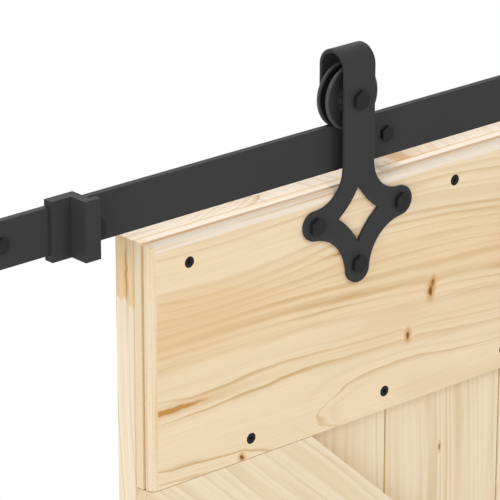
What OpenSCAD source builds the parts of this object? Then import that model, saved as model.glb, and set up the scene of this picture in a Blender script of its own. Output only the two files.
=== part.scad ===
// Sliding barn door on a flat rail: a ledged and braced pine door hung by two looped straps whose
// grooved wheels run on the rail's top edge. X runs along the rail, the front faces -Y, Z is up.
// The origin is on the wall plane, on the axis of the rail's middle lag bolt.

/* [Rail] */
// Length of the rail
rail_l = 1830; // [1750:1:2100]
// Height of the flat bar
rail_h = 40; // [36:0.5:44]
// Thickness of the flat bar
rail_t = 6; // [5:0.1:7]
// Distance from the rail's end to the first fixing hole
rail_margin = 102.2; // [95:0.1:115]
// Number of fixing holes, odd so that one is in the middle
hole_count = 5; // [3:2:5]

/* [Wall fixing] */
// Length of the tube that holds the rail off the wall
spacer_l = 34; // [32:0.5:50]
// Outside diameter of that tube
spacer_d = 24; // [18:0.5:26]
// Shank diameter of a lag bolt
lag_d = 8; // [6:0.1:10]
// Length of a lag bolt behind the wall plane
lag_in_wall = 40; // [30:1:80]
// Width across flats of a lag bolt's head
lag_head_af = 12.2; // [11:0.1:15]
// Height of a lag bolt's head
lag_head_h = 3.4; // [3:0.1:6]

/* [End stop] */
// Distance from the outermost fixing hole to the stop
stop_inset = 47.4; // [40:0.1:60]
// Length of the leg that clasps the rail
stop_leg_l = 28.2; // [26:0.1:36]
// Thickness of the web in front of the rail
stop_web_t = 3.4; // [2.5:0.1:4]
// Height of the lip above and below the rail
stop_lip_h = 5.4; // [5:0.1:6.2]
// Thickness of the leg that stands forward
stop_arm_t = 8.9; // [7:0.1:11]
// How far the stop stands in front of the rail
stop_reach = 21; // [20:0.1:23]
// Depth of the hook that shields the bumper
stop_hook_t = 6.6; // [5:0.1:7]
// Length of that hook beyond the forward leg
stop_hook_l = 6.4; // [5:0.1:9]
// Length of the rubber bumper
bumper_l = 18.6; // [16:0.1:24]
// Width of the bumper
bumper_w = 11; // [9:0.1:11.4]
// Height of the bumper
bumper_h = 18; // [16:0.5:26]
// Distance of the bumper's middle below the middle of the rail
bumper_drop = 6; // [4:0.5:11]

/* [Wheel] */
// Radius at which the wheel runs on the rail
tread_r = 22; // [21:0.1:25]
// Radius of the flanges
flange_r = 29; // [27.5:0.1:30]
// Width over the flanges
wheel_w = 13.2; // [12:0.1:15]
// Radius of the dished hub where it leaves the flange
hub_base_r = 18; // [17:0.1:20]
// Radius of the hub's flat top
hub_top_r = 13.2; // [12.6:0.1:15]
// Height of the hub above the flange
hub_h = 3.2; // [2.5:0.1:4]
// Outside diameter of the ball bearing
bearing_d = 22; // [20:0.1:24]
// Width of the ball bearing
bearing_w = 6; // [5:0.1:7]
// Diameter of the axle bolt
axle_d = 10; // [9:0.1:11]
// Width across flats of the axle bolt and its nut
axle_af = 15; // [14:0.1:18]

/* [Hanger strap] */
// Distance from the second board's inner joint to the middle of the strap, towards the door's edge
hanger_from_joint = 54.1; // [54:0.1:70]
// Width of the strap
strap_w = 34; // [32:0.5:38]
// Thickness of the strap
strap_t = 3.3; // [3:0.1:5]
// Clear space inside the loop
strap_gap = 25.6; // [24.5:0.1:28]
// Height of the loop's bend axis above the axle
bend_rise = 27; // [24:0.5:32]
// Distance from the axle down to the upper pair of bolts
plate_drop = 100.6; // [99:0.1:108]
// Sideways distance of the upper bolts from the middle
bolt_side = 48.2; // [46:0.1:50]
// Distance from the upper bolts down to the lowest bolt
bolt_down = 44.6; // [43:0.1:48]
// Radius of the plate round the upper bolts
lobe_r = 13.1; // [12:0.1:15]
// Radius of the plate's lower tip
tip_r = 12.7; // [12:0.1:15]
// Distance of the tip's centre below the lowest bolt
tip_drop = 4.4; // [2:0.1:6]
// Radius of the hollow between the strap and an upper lobe
shoulder_r = 30; // [26:0.5:31]
// Radius of the hollow between an upper lobe and the tip
waist_r = 40; // [34:0.5:50]
// Half width of the diamond window
diamond_half_w = 22.7; // [20:0.1:24]
// Half height of the diamond window
diamond_half_h = 25.6; // [23:0.1:27]
// Height of the diamond's middle above the upper bolts
diamond_rise = 0.2; // [0:0.1:2]
// How far each side of the diamond bows inward
diamond_bow = 2; // [1:0.1:3]
// Diameter of a door bolt
bolt_d = 8; // [7:0.1:9]
// Width across flats of a door bolt
bolt_af = 14; // [12:0.1:15]
// Height of a door bolt's head
bolt_head_h = 4.1; // [3.5:0.1:6]

/* [Door] */
// Width of the door
door_w = 980; // [900:1:1000]
// Height of the door
door_h = 2134; // [1950:1:2200]
// Gap between the rail's bottom edge and the door's top
door_gap = 12.5; // [10:0.1:16]
// Thickness of the tongued boards
core_t = 24; // [20:0.5:25]
// Number of tongued boards
board_count = 7; // [6:1:8]
// Thickness of the ledges and braces
ledge_t = 17.5; // [16:0.1:20]
// Height of a ledge
ledge_h = 216; // [190:1:230]
// Width of a brace's cut along the ledge
brace_cut = 177; // [150:1:200]
// Distance of the door's middle to the right of the rail's middle
door_x = -184.4; // [-220:0.1:300]
// Depth of the rounded moulding on the outer edges
mould_r = 7.4; // [6:0.1:8]
// Width of the step beside that moulding
mould_step = 1.2; // [1:0.1:2]
// Width of the groove behind that moulding
quirk_w = 2.2; // [1.5:0.1:3]
// Depth of that groove
quirk_d = 2.6; // [2.2:0.1:4]
// Width of the tongue
tongue_l = 6; // [4:0.1:8]
// Thickness of the tongue
tongue_t = 7; // [6:0.1:8]
// Width of the chamfer along each board's front edges
vee = 1; // [0.8:0.1:3]
// Gap between two boards' shoulders
board_gap = 0.5; // [0.2:0.1:0.8]
// Gap between a brace's cut end and its ledge
brace_gap = 0.6; // [0.2:0.1:0.8]

/* [Screws in the wood] */
// Distance from the door's side to the first screw of a ledge's outer row
outer_inset = 43; // [36:0.5:46]
// Number of screws in the outer row
outer_count = 7; // [5:1:7]
// Distance of the outer row from the ledge's outer edge
outer_drop = 24; // [20:0.5:28]
// Distance of an inner row's screws from the first joints, counted from the door's side
inner_from_joint = [31, 18.6, 14]; // [10:0.1:40]
// Distance of the inner row from the ledge's inner edge
inner_rise = 17.5; // [16:0.5:24]
// Diameter of a screw's head
screw_head_d = 9.6; // [8:0.1:10]
// Diameter of a screw's shank
screw_d = 4; // [3:0.1:4.5]
// Length of a screw
screw_l = 35; // [30:0.5:38]

/* [Floor guide] */
// Length of the guide's foot
guide_l = 90; // [80:1:120]
// Width of the guide's foot
guide_w = 30; // [26:0.5:34]
// Thickness of the guide's foot
guide_foot_t = 3; // [2.5:0.1:4]
// Length of the fin in the door's groove
guide_fin_l = 40; // [30:1:46]
// Thickness of that fin
guide_fin_t = 6.5; // [5:0.1:8]
// Height of the fin inside the groove
guide_fin_rise = 13; // [10:0.5:16]
// Gap between the guide's foot and the door
guide_gap = 5; // [3:0.5:8]
// Distance between the foot's two screw holes
guide_hole_pitch = 64; // [56:1:70]
// Diameter of those holes
guide_hole_d = 5.5; // [5:0.1:6]

/* [Hidden] */
$fn = 64;

// Clearances, the lap of two arcs that run into each other, and the overrun of every cut
run_fit = 0.03;
thread_fit = 0.05;
press_fit = 0.02;
bolt_fit = 0.25;
wood_fit = 0.15;
roll_gap = 0.3;
arc_lap = 0.02;
side_play = 0.25;
guide_play = 0.75;
over = 1;

// Hexagons: across corners over across flats
hex_share = 1 / cos(30);

// Depths, from the wall plane forward
rail_back = -spacer_l;
rail_front = rail_back - rail_t;
wheel_y = (rail_back + rail_front) / 2;
door_front = wheel_y - strap_gap / 2;
strap_front = door_front - strap_t;
strap_rear_in = wheel_y + strap_gap / 2;
strap_rear = strap_rear_in + strap_t;
ledge_back = door_front + ledge_t;
door_back = ledge_back + core_t;
core_mid = (ledge_back + door_back) / 2;

// Heights, from the rail's middle
rail_top = rail_h / 2;
axle_z = rail_top + tread_r + roll_gap;
bend_z = axle_z + bend_rise;
plate_z = axle_z - plate_drop;
door_top = -rail_h / 2 - door_gap;
door_bottom = door_top - door_h;
middle_z = (door_top + door_bottom) / 2;

// Places along the rail
hole_pitch = (rail_l - 2 * rail_margin) / (hole_count - 1);
hole_last = (hole_count - 1) / 2;
hole_end_x = hole_last * hole_pitch;
door_left = door_x - door_w / 2;
board_w = door_w / board_count;
hanger_inset = 2 * board_w - hanger_from_joint;
hanger_x = door_w / 2 - hanger_inset;

// Lag bolts and spacers
lag_hole_r = lag_d / 2 + bolt_fit;
lag_tip_l = lag_d;
lag_shank_share = 0.95;
lag_shank_r = lag_d / 2 * lag_shank_share;
spacer_bore_r = lag_d / 2 + bolt_fit;
rail_corner_r = rail_t / 3;

// End stop
stop_arm_x = stop_leg_l - stop_arm_t;
stop_h = rail_h + 2 * stop_lip_h;
stop_y = rail_front - stop_reach;
bumper_y = stop_y + stop_hook_t + bumper_w / 2;
bumper_stem_r = bumper_w / 4;
bumper_stem_l = stop_arm_t * 3 / 4;
bumper_round_r = bumper_w / 5;
stop_screw_d = stop_lip_h * 0.8;
stop_screw_socket_af = stop_screw_d / 2;

// Wheel
groove_half_w = (rail_t + rail_t / 8) / 2;
groove_lean_share = 0.08;
rim_half_w = groove_half_w + groove_lean_share * (flange_r - tread_r);
rim_round_r = (wheel_w / 2 - rim_half_w) / 2;
hub_half_w = wheel_w / 2 + hub_h;
bush_r = axle_d / 2 + axle_d / 5;
hub_hole_r = bush_r + axle_d / 20;
bush_l = (strap_gap - bearing_w) / 2 - side_play;
shield_depth = bearing_w / 12;
race_share = [0.18, 0.8];
axle_head_h = axle_d * 0.42;
axle_nut_h = axle_d * 0.8;
axle_tail_l = axle_d / 10;
hex_chamfer_share = 0.08;

// Hanger bolts and their sleeve nuts
sleeve_r = bolt_d / 2 + bolt_d * 0.18;
sleeve_flange_r = bolt_d * 1.3;
sleeve_flange_t = bolt_d / 4;
sleeve_l = core_t * 0.75;
sleeve_socket_af = bolt_d * 0.75;
bolt_reach = ledge_t + core_t - sleeve_flange_t;

// Wood
moulded_y = door_front + mould_r;
guide_slot_w = guide_fin_t + 2 * guide_play;
guide_slot_h = guide_fin_rise + guide_gap;
screw_tip_l = screw_d;
screw_head_l = (screw_head_d - screw_d) / 2;
screw_rim_t = screw_head_d / 10;

// Floor guide
floor_z = door_bottom - guide_gap - guide_foot_t;
guide_fin_round_r = guide_fin_t / 4;

// Colours
black = [0.20, 0.20, 0.205];
rubber = [0.12, 0.12, 0.12];
steel = [0.62, 0.63, 0.64];
pine = [0.91, 0.81, 0.64];

// Points of the screws, from the door's left side (x) and the door's top (z, negative)
function row(inset, count) = [for (i = [0:count - 1]) inset + i * (door_w - 2 * inset) / (count - 1)];
inner_left = [for (i = [0:len(inner_from_joint) - 1]) (i + 1) * board_w - inner_from_joint[i]];
inner_row = concat(inner_left, [for (x = inner_left) door_w - x]);
function ledge_points(top, flip) = concat(
  [for (x = row(outer_inset, outer_count)) [x, flip ? top - ledge_h + outer_drop : top - outer_drop]],
  [for (x = inner_row) [x, flip ? top - inner_rise : top - ledge_h + inner_rise]]
);
top_ledge_z = 0;
middle_ledge_z = -(door_h - ledge_h) / 2;
bottom_ledge_z = -(door_h - ledge_h);
brace_run = door_w - brace_cut;
brace_fall = (door_h - 3 * ledge_h) / 2;

// A brace's middle line, as height at a given distance from the door's left side
function brace_z(x, upper) =
  let (t = (x - brace_cut / 2) / brace_run)
  upper ? -ledge_h - t * brace_fall : bottom_ledge_z + t * brace_fall;
brace_boards = [for (i = [1:board_count - 2]) (i + 0.5) * board_w];
brace_points = concat(
  [for (x = brace_boards) [x, brace_z(x, true)]],
  [for (x = brace_boards) [x, brace_z(x, false)]]
);
screw_points = concat(
  ledge_points(top_ledge_z, false),
  ledge_points(middle_ledge_z, false),
  ledge_points(bottom_ledge_z, true),
  brace_points
);

// Bolt places on a hanger's plate, from the plate's middle
plate_bolts = [[-bolt_side, 0], [bolt_side, 0], [0, -bolt_down]];
hanger_places = [hanger_inset, door_w - hanger_inset];
door_bolt_points = [
  for (x = hanger_places)
    for (p = plate_bolts)
      [x + p[0], plate_z - door_top + p[1]]
];

// Helpers

// A flat outline drawn with Y up, set upright with its rear face at y
module upright(y, depth) {
  translate([0, y, 0])
    rotate([90, 0, 0])
      linear_extrude(depth)
        children();
}

// A round bar along +Y from y
module bar_y(r, y, l) {
  translate([0, y, 0])
    rotate([-90, 0, 0])
      cylinder(r = r, h = l);
}

// A hexagonal head standing forward from y, one corner up, with its outer edge turned off
module hex_head(af, y, h) {
  ac = af * hex_share;
  cut = ac * hex_chamfer_share;
  translate([0, y, 0])
    rotate([90, 0, 0])
      intersection() {
        rotate([0, 0, 90])
          cylinder(d = ac, h = h, $fn = 6);
        rotate_extrude()
          polygon([
            [0, 0], [ac / 2 + over, 0], [ac / 2 + over, h - (cut + over) / 2],
            [ac / 2 - cut, h], [0, h]
          ]);
      }
}

// Moves children from the door's left top corner to the part's frame
module on_door() {
  translate([door_left, 0, door_top])
    children();
}

// Moves children to a hanger's axle line, side -1 left and 1 right
module at_hanger(side) {
  translate([door_x + side * hanger_x, 0, 0])
    children();
}

// Rail and wall fixing

module rail() {
  color(black)
    difference() {
      upright(rail_back, rail_t)
        difference() {
          square([rail_l, rail_h], center = true);
          for (sx = [-1, 1])
            for (sz = [-1, 1])
              translate([sx * rail_l / 2, sz * rail_h / 2])
                scale([-sx, -sz])
                  difference() {
                    translate([-over, -over])
                      square(rail_corner_r + over);
                    translate([rail_corner_r, rail_corner_r])
                      circle(rail_corner_r);
                  }
        }
      for (i = [-hole_last:hole_last])
        translate([i * hole_pitch, 0, 0])
          bar_y(lag_hole_r, rail_front - over, rail_t + 2 * over);
    }
}

module wall_spacers() {
  color(black)
    for (i = [-hole_last:hole_last])
      translate([i * hole_pitch, 0, 0])
        difference() {
          bar_y(spacer_d / 2, rail_back, spacer_l);
          bar_y(spacer_bore_r, rail_back - over, spacer_l + 2 * over);
        }
}

module lag_bolts() {
  color(black)
    for (i = [-hole_last:hole_last])
      translate([i * hole_pitch, 0, 0]) {
        hex_head(lag_head_af, rail_front, lag_head_h);
        bar_y(lag_shank_r, rail_front, rail_t + spacer_l);
        bar_y(lag_d / 2, 0, lag_in_wall - lag_tip_l);
        translate([0, lag_in_wall - lag_tip_l, 0])
          rotate([-90, 0, 0])
            cylinder(r1 = lag_d / 2, r2 = lag_d / 8, h = lag_tip_l);
      }
}

// End stops, drawn for the left end and mirrored for the right

module at_stop(side) {
  if (side > 0)
    mirror([1, 0, 0])
      translate([-hole_end_x + stop_inset, 0, 0])
        children();
  else
    translate([-hole_end_x + stop_inset, 0, 0])
      children();
}

// The bent bar seen from above: leg along the rail, arm forward, hook that shields the bumper
module stop_plan() {
  translate([0, rail_front - stop_web_t])
    square([stop_leg_l, stop_web_t + rail_t]);
  translate([stop_arm_x, stop_y])
    square([stop_arm_t, rail_back - stop_y]);
  translate([stop_arm_x, stop_y])
    square([stop_arm_t + stop_hook_l, stop_hook_t]);
}

module end_stop(side) {
  color(black)
    at_stop(side)
      difference() {
        translate([0, 0, -stop_h / 2])
          linear_extrude(stop_h)
            stop_plan();
        translate([-over, rail_front, -rail_h / 2 - press_fit])
          cube([stop_leg_l + 2 * over, rail_t + over, rail_h + 2 * press_fit]);
        translate([stop_arm_x + stop_arm_t - bumper_stem_l, bumper_y, -bumper_drop])
          rotate([0, 90, 0])
            cylinder(r = bumper_stem_r + press_fit, h = bumper_stem_l + over);
        translate([stop_arm_x / 2, (rail_front + rail_back) / 2, -stop_h / 2 - over])
          cylinder(d = stop_screw_d + 2 * thread_fit, h = stop_lip_h + 2 * over);
      }
}

module end_stop_left() { end_stop(-1); }
module end_stop_right() { end_stop(1); }

// A rubber buffer with an oblong section, pressed into the arm by its stem
module bumper(side) {
  color(rubber)
    at_stop(side)
      translate([stop_leg_l, bumper_y, -bumper_drop])
        rotate([0, 90, 0]) {
          translate([0, 0, -bumper_stem_l])
            cylinder(r = bumper_stem_r, h = bumper_stem_l);
          hull()
            for (s = [-1, 1])
              translate([s * (bumper_h - bumper_w) / 2, 0, 0]) {
                cylinder(d = bumper_w, h = bumper_l - bumper_round_r, $fn = 32);
                cylinder(d = bumper_w - bumper_round_r, h = bumper_l, $fn = 32);
              }
        }
}

module bumper_left() { bumper(-1); }
module bumper_right() { bumper(1); }

// Grub screws in the stops' lower lips, tight against the rail's bottom edge
module stop_screws() {
  color(steel)
    for (side = [-1, 1])
      at_stop(side)
        translate([stop_arm_x / 2, (rail_front + rail_back) / 2, -stop_h / 2])
          difference() {
            cylinder(d = stop_screw_d, h = stop_lip_h);
            translate([0, 0, -over])
              cylinder(d = stop_screw_socket_af * hex_share, h = stop_lip_h / 2 + over, $fn = 6);
          }
}

// Hanger straps

// Place of a hollow's centre beside the strap, tangent to the strap's side and to the upper lobe
shoulder_x = strap_w / 2 + shoulder_r + arc_lap;
shoulder_z = sqrt(pow(lobe_r + shoulder_r, 2) - pow(bolt_side - shoulder_x, 2));

// Place of a hollow's centre below an upper lobe, tangent to that lobe and to the tip
tip_down = bolt_down + tip_drop;
span = norm([bolt_side, tip_down]);
span_dir = [-bolt_side, -tip_down] / span;
span_out = [tip_down, -bolt_side] / span;
reach_lobe = lobe_r + waist_r;
reach_tip = tip_r + waist_r;
along = (span * span + reach_lobe * reach_lobe - reach_tip * reach_tip) / (2 * span);
aside = sqrt(reach_lobe * reach_lobe - along * along);
waist = [bolt_side, 0] + along * span_dir + aside * span_out;

// The diamond window: four points joined by sides that bow inward
module diamond() {
  side_l = norm([diamond_half_w, diamond_half_h]);
  bow_r = (side_l * side_l / 4 + diamond_bow * diamond_bow) / (2 * diamond_bow);
  out = [diamond_half_h, diamond_half_w] / side_l;
  difference() {
    polygon([[diamond_half_w, 0], [0, diamond_half_h], [-diamond_half_w, 0], [0, -diamond_half_h]]);
    for (sx = [-1, 1])
      for (sz = [-1, 1])
        translate([
          sx * (diamond_half_w / 2 + out[0] * (bow_r - diamond_bow)),
          sz * (diamond_half_h / 2 + out[1] * (bow_r - diamond_bow))
        ])
          circle(bow_r + arc_lap, $fn = 128);
  }
}

// Right half of the plate: an upper lobe, the hollow to the strap and the hollow to the tip
module plate_half() {
  translate([bolt_side, 0])
    circle(lobe_r);
  difference() {
    polygon([[0, 0], [bolt_side, 0], [shoulder_x, shoulder_z], [0, shoulder_z]]);
    translate([shoulder_x, shoulder_z])
      circle(shoulder_r + arc_lap);
  }
  difference() {
    polygon([[0, 0], [0, -tip_down], waist, [bolt_side, 0]]);
    translate(waist)
      circle(waist_r + arc_lap);
  }
}

// Front leg with its plate, from the plate's middle up to the bend
module front_outline() {
  difference() {
    union() {
      plate_half();
      mirror([1, 0])
        plate_half();
      translate([0, -tip_down])
        circle(tip_r);
      translate([-strap_w / 2, shoulder_z])
        square([strap_w, bend_z - plate_z - shoulder_z]);
    }
    translate([0, diamond_rise])
      diamond();
  }
}

// The bend and the rear leg, seen along X
module loop_profile() {
  difference() {
    circle(strap_gap / 2 + strap_t);
    circle(strap_gap / 2);
    translate([-strap_gap, -2 * strap_gap])
      square([2 * strap_gap, 2 * strap_gap]);
  }
}

module strap(side) {
  color(black)
    at_hanger(side)
      difference() {
        union() {
          upright(door_front, strap_t)
            translate([0, plate_z])
              front_outline();
          translate([-strap_w / 2, wheel_y, bend_z])
            rotate([90, 0, 90])
              linear_extrude(strap_w)
                loop_profile();
          upright(strap_rear, strap_t)
            union() {
              translate([-strap_w / 2, axle_z])
                square([strap_w, bend_rise]);
              translate([0, axle_z])
                circle(strap_w / 2);
            }
        }
        translate([0, 0, axle_z])
          bar_y(axle_d / 2 + thread_fit, strap_front - over, strap_rear - strap_front + 2 * over);
        for (p = plate_bolts)
          translate([p[0], 0, plate_z + p[1]])
            bar_y(bolt_d / 2 + bolt_fit, strap_front - over, strap_t + 2 * over);
      }
}

module strap_left() { strap(-1); }
module strap_right() { strap(1); }

// Axles and wheels

module axle_bolt(side) {
  color(black)
    at_hanger(side)
      translate([0, 0, axle_z]) {
        hex_head(axle_af, strap_front, axle_head_h);
        bar_y(axle_d / 2, strap_front, strap_rear - strap_front + axle_nut_h + axle_tail_l);
      }
}

module axle_bolt_left() { axle_bolt(-1); }
module axle_bolt_right() { axle_bolt(1); }

// Two distance tubes that hold the bearing in the middle of the loop
module axle_bushes(side) {
  color(steel)
    at_hanger(side)
      translate([0, 0, axle_z])
        for (y = [door_front, strap_rear_in - bush_l])
          difference() {
            bar_y(bush_r, y, bush_l);
            bar_y(axle_d / 2 + thread_fit, y - over, bush_l + 2 * over);
          }
}

module axle_bushes_left() { axle_bushes(-1); }
module axle_bushes_right() { axle_bushes(1); }

module axle_nut(side) {
  color(black)
    at_hanger(side)
      translate([0, strap_rear, axle_z])
        difference() {
          mirror([0, 1, 0])
            hex_head(axle_af, 0, axle_nut_h);
          bar_y(axle_d / 2 + thread_fit, -over, axle_nut_h + 2 * over);
        }
}

module axle_nut_left() { axle_nut(-1); }
module axle_nut_right() { axle_nut(1); }

// One half of the wheel's turned section, radius against distance from the middle plane
function rim_arc(r) = [
  for (a = [0:15:180])
    [flange_r - r + r * sin(a), wheel_w / 2 - r - r * cos(a)]
];
function wheel_half() = concat(
  [[tread_r, 0], [tread_r, groove_half_w]],
  rim_arc(rim_round_r),
  [[hub_base_r, wheel_w / 2], [hub_top_r, hub_half_w]]
);
function flipped(points) = [for (i = [len(points) - 1:-1:0]) [points[i][0], -points[i][1]]];

module wheel(side) {
  color(black)
    at_hanger(side)
      translate([0, wheel_y, axle_z])
        rotate([90, 0, 0])
          rotate_extrude($fn = 96)
            polygon(concat(
              flipped(wheel_half()),
              wheel_half(),
              [
                [hub_hole_r, hub_half_w], [hub_hole_r, bearing_w / 2],
                [bearing_d / 2 + press_fit, bearing_w / 2], [bearing_d / 2 + press_fit, -hub_half_w]
              ]
            ));
}

module wheel_left() { wheel(-1); }
module wheel_right() { wheel(1); }

// A sealed ball bearing, its shields set back between the two races
module wheel_bearing(side) {
  bore_r = axle_d / 2 + run_fit;
  outer_r = bearing_d / 2;
  inner_race_r = bore_r + race_share[0] * (outer_r - bore_r);
  outer_race_r = bore_r + race_share[1] * (outer_r - bore_r);
  half_w = bearing_w / 2;
  color(steel)
    at_hanger(side)
      translate([0, wheel_y, axle_z])
        rotate([90, 0, 0])
          difference() {
            translate([0, 0, -half_w])
              cylinder(r = outer_r, h = bearing_w);
            translate([0, 0, -half_w - over])
              cylinder(r = bore_r, h = bearing_w + 2 * over);
            for (s = [-1, 1])
              translate([0, 0, s * half_w])
                difference() {
                  cylinder(r = outer_race_r, h = 2 * shield_depth, center = true);
                  cylinder(r = inner_race_r, h = 3 * shield_depth, center = true);
                }
          }
}

module wheel_bearing_left() { wheel_bearing(-1); }
module wheel_bearing_right() { wheel_bearing(1); }

// Door bolts and the sleeve nuts let into the door's back

module door_bolts(side) {
  color(black)
    at_hanger(side)
      for (p = plate_bolts)
        translate([p[0], 0, plate_z + p[1]]) {
          hex_head(bolt_af, strap_front, bolt_head_h);
          bar_y(bolt_d / 2, strap_front, strap_t + bolt_reach);
        }
}

module door_bolts_left() { door_bolts(-1); }
module door_bolts_right() { door_bolts(1); }

module sleeve_nuts(side) {
  color(black)
    at_hanger(side)
      for (p = plate_bolts)
        translate([p[0], door_back, plate_z + p[1]])
          difference() {
            union() {
              bar_y(sleeve_r, -sleeve_l, sleeve_l);
              bar_y(sleeve_flange_r, 0, sleeve_flange_t);
            }
            bar_y(bolt_d / 2 + thread_fit, -sleeve_l - over, sleeve_l + over);
            rotate([-90, 0, 0])
              translate([0, 0, -over])
                cylinder(d = sleeve_socket_af * hex_share, h = sleeve_flange_t + 2 * over, $fn = 6);
          }
}

module sleeve_nuts_left() { sleeve_nuts(-1); }
module sleeve_nuts_right() { sleeve_nuts(1); }

// Door boards

// Half section of a wood screw, head first; grow widens it for the hole
module screw_section(grow, length) {
  polygon([
    [0, 0], [screw_head_d / 2 + grow, 0], [screw_head_d / 2 + grow, screw_rim_t],
    [screw_d / 2 + grow, screw_rim_t + screw_head_l], [screw_d / 2 + grow, length - screw_tip_l],
    [screw_d / 8 + grow, length + grow], [0, length + grow]
  ]);
}

// A screw driven from the door's front at a point of the door
module screw_at(p, grow) {
  translate([p[0], door_front, p[1]])
    rotate([-90, 0, 0])
      rotate_extrude($fn = 32)
        screw_section(grow, screw_l);
}

// Hole of a door bolt, wider at the back for the sleeve nut
module bolt_hole_at(p) {
  translate([p[0], 0, p[1]]) {
    bar_y(bolt_d / 2 + bolt_fit, door_front - over, ledge_t + core_t + 2 * over);
    bar_y(sleeve_r + wood_fit, door_back - sleeve_l - wood_fit, sleeve_l + wood_fit + over);
  }
}

// Section of one tongued board seen from above, its left side at x = 0
module board_section(first, last) {
  groove_t = tongue_t + 2 * wood_fit;
  groove_l = tongue_l + wood_fit;
  right_vee = last ? 0 : vee;
  left_vee = first ? 0 : vee;
  right = last ? board_w : board_w - board_gap;
  tongue = last ? [] : [
    [right, core_mid + tongue_t / 2], [board_w + tongue_l, core_mid + tongue_t / 2],
    [board_w + tongue_l, core_mid - tongue_t / 2], [right, core_mid - tongue_t / 2]
  ];
  groove = first ? [] : [
    [0, core_mid - groove_t / 2], [groove_l, core_mid - groove_t / 2],
    [groove_l, core_mid + groove_t / 2], [0, core_mid + groove_t / 2]
  ];
  polygon(concat(
    [[0, door_back], [right, door_back]],
    tongue,
    [[right, ledge_back + right_vee], [right - right_vee, ledge_back]],
    [[left_vee, ledge_back], [0, ledge_back + left_vee]],
    groove
  ));
}

module core_board(i) {
  left = (i - 1) * board_w;
  right = left + board_w + tongue_l;
  color(pine)
    on_door()
      difference() {
        translate([left, 0, -door_h])
          linear_extrude(door_h)
            board_section(i == 1, i == board_count);
        for (p = screw_points)
          if (p[0] > left - screw_d && p[0] < right + screw_d)
            screw_at(p, wood_fit);
        for (p = door_bolt_points)
          if (p[0] > left - sleeve_r - bolt_fit && p[0] < right + sleeve_r + bolt_fit)
            bolt_hole_at(p);
        translate([left - over, core_mid - guide_slot_w / 2, -door_h - over])
          cube([board_w + tongue_l + 2 * over, guide_slot_w, guide_slot_h + over]);
      }
}

module core_board_1() { core_board(1); }
module core_board_2() { core_board(2); }
module core_board_3() { core_board(3); }
module core_board_4() { core_board(4); }
module core_board_5() { core_board(5); }
module core_board_6() { core_board(6); }
module core_board_7() { core_board(7); }

// What the moulding takes off a ledge's edge at x = 0: a quarter round in front and a groove behind it
module edge_cut() {
  inset = mould_step + mould_r;
  difference() {
    translate([-over, door_front - over])
      square([inset + over, mould_r + over]);
    translate([inset, moulded_y])
      circle(mould_r);
  }
  translate([-over, moulded_y])
    square([quirk_d + over, quirk_w]);
}

// A ledge's section across its width, with the edges that are moulded
module ledge_section(extent, low_edge, high_edge) {
  difference() {
    translate([0, door_front])
      square([extent, ledge_t]);
    if (low_edge)
      edge_cut();
    if (high_edge)
      translate([extent, 0])
        mirror([1, 0])
          edge_cut();
  }
}

// A ledge whose ends are moulded, and whose outer long edge may be
module ledge(top, low_edge, high_edge, flip) {
  color(pine)
    on_door()
      difference() {
        intersection() {
          translate([0, 0, top - ledge_h])
            linear_extrude(ledge_h)
              ledge_section(door_w, true, true);
          translate([0, 0, top - ledge_h])
            rotate([90, 0, 90])
              linear_extrude(door_w)
                mirror([1, -1])
                  ledge_section(ledge_h, low_edge, high_edge);
        }
        for (p = ledge_points(top, flip))
          screw_at(p, wood_fit);
        for (p = door_bolt_points)
          if (p[1] < top && p[1] > top - ledge_h)
            bolt_hole_at(p);
      }
}

module ledge_top() { ledge(top_ledge_z, false, true, false); }
module ledge_middle() { ledge(middle_ledge_z, false, false, false); }
module ledge_bottom() { ledge(bottom_ledge_z, true, false, true); }

// A brace between two ledges, from corner to corner
module brace(upper) {
  high = (upper ? 0 : middle_ledge_z) - ledge_h - brace_gap;
  low = high - brace_fall + 2 * brace_gap;
  color(pine)
    on_door()
      difference() {
        upright(ledge_back, ledge_t)
          polygon(upper
            ? [[0, high], [brace_cut, high], [door_w, low], [door_w - brace_cut, low]]
            : [[0, low], [brace_cut, low], [door_w, high], [door_w - brace_cut, high]]);
        for (p = brace_points)
          if (p[1] < high && p[1] > low)
            screw_at(p, wood_fit);
      }
}

module brace_upper() { brace(true); }
module brace_lower() { brace(false); }

module ledge_screws(top, flip) {
  color(black)
    on_door()
      for (p = ledge_points(top, flip))
        screw_at(p, 0);
}

module ledge_screws_top() { ledge_screws(top_ledge_z, false); }
module ledge_screws_middle() { ledge_screws(middle_ledge_z, false); }
module ledge_screws_bottom() { ledge_screws(bottom_ledge_z, true); }

module brace_screws() {
  color(black)
    on_door()
      for (p = brace_points)
        screw_at(p, 0);
}

// Floor guide: a foot on the floor and a fin that the door's bottom groove slides over
module floor_guide() {
  color(black)
    translate([0, core_mid, floor_z])
      difference() {
        union() {
          translate([-guide_l / 2, -guide_w / 2, 0])
            cube([guide_l, guide_w, guide_foot_t]);
          translate([-guide_fin_l / 2, -guide_fin_t / 2, 0])
            cube([guide_fin_l, guide_fin_t, guide_foot_t + guide_gap + guide_fin_rise]);
        }
        for (s = [-1, 1])
          translate([s * guide_hole_pitch / 2, 0, -over])
            cylinder(d = guide_hole_d, h = guide_foot_t + 2 * over);
      }
}

rail();
wall_spacers();
lag_bolts();
end_stop_left();
end_stop_right();
bumper_left();
bumper_right();
stop_screws();
floor_guide();
strap_left();
strap_right();
axle_bolt_left();
axle_bolt_right();
axle_bushes_left();
axle_bushes_right();
axle_nut_left();
axle_nut_right();
door_bolts_left();
door_bolts_right();
sleeve_nuts_left();
sleeve_nuts_right();
wheel_left();
wheel_right();
wheel_bearing_left();
wheel_bearing_right();
core_board_1();
core_board_2();
core_board_3();
core_board_4();
core_board_5();
core_board_6();
core_board_7();
ledge_top();
ledge_middle();
ledge_bottom();
brace_upper();
brace_lower();
ledge_screws_top();
ledge_screws_middle();
ledge_screws_bottom();
brace_screws();
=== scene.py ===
import math

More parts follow.
